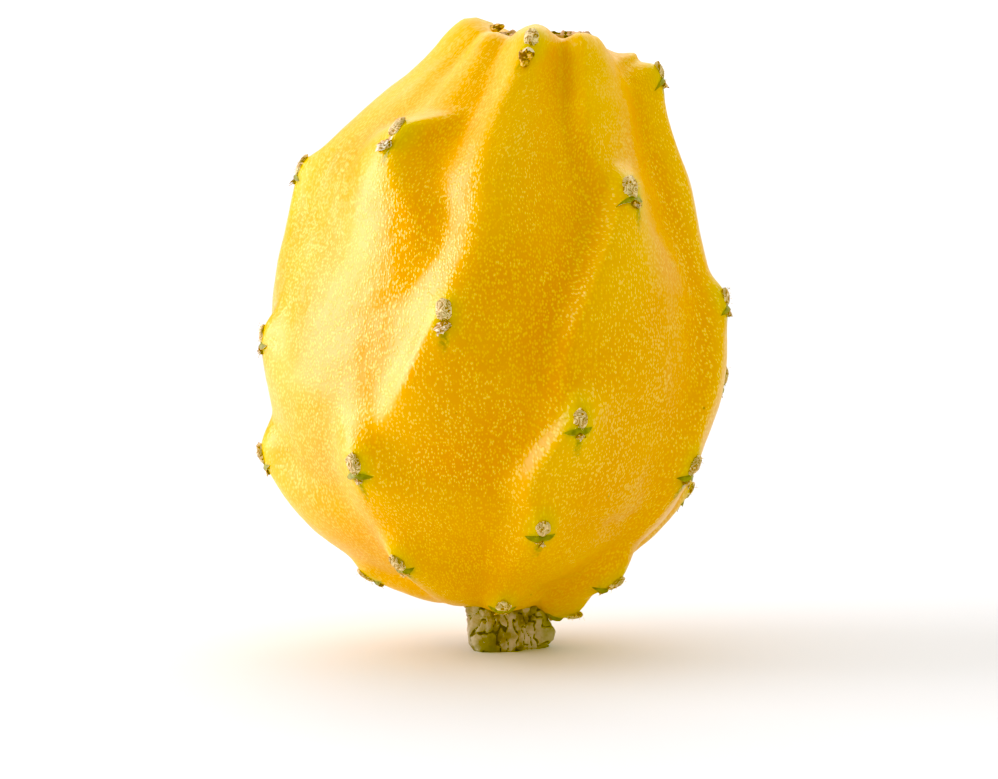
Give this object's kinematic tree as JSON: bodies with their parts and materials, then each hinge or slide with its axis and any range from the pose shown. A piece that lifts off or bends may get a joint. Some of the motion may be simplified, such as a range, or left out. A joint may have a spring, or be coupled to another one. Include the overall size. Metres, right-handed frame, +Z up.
{
  "type": "yellow dragon fruit",
  "caption": "Whole ripe yellow dragon fruit: an egg-shaped, ribbed body with woolly areoles on its tubercles, a dried flower scar on top and a woody stem stub to stand on.",
  "frame": {"origin": "middle of the stem stub's cut end, on the surface that the fruit stands on", "axes": "+Z up along the fruit, from the stem to the flower scar; -Y towards the pictured side; +X to the right of the picture"},
  "size_m": [0.0761, 0.0731, 0.1013],
  "materials": {
    "yellow_skin": "waxy, semi-gloss, finely speckled",
    "woody_stem": "dry, corky, matt",
    "dried_flower_scar": "dry, papery, matt"
  },
  "bodies": {
    "root": {"fruit": "yellow_skin", "stem_stub": "woody_stem", "flower_scar": "dried_flower_scar"}
  },
  "joints": []
}
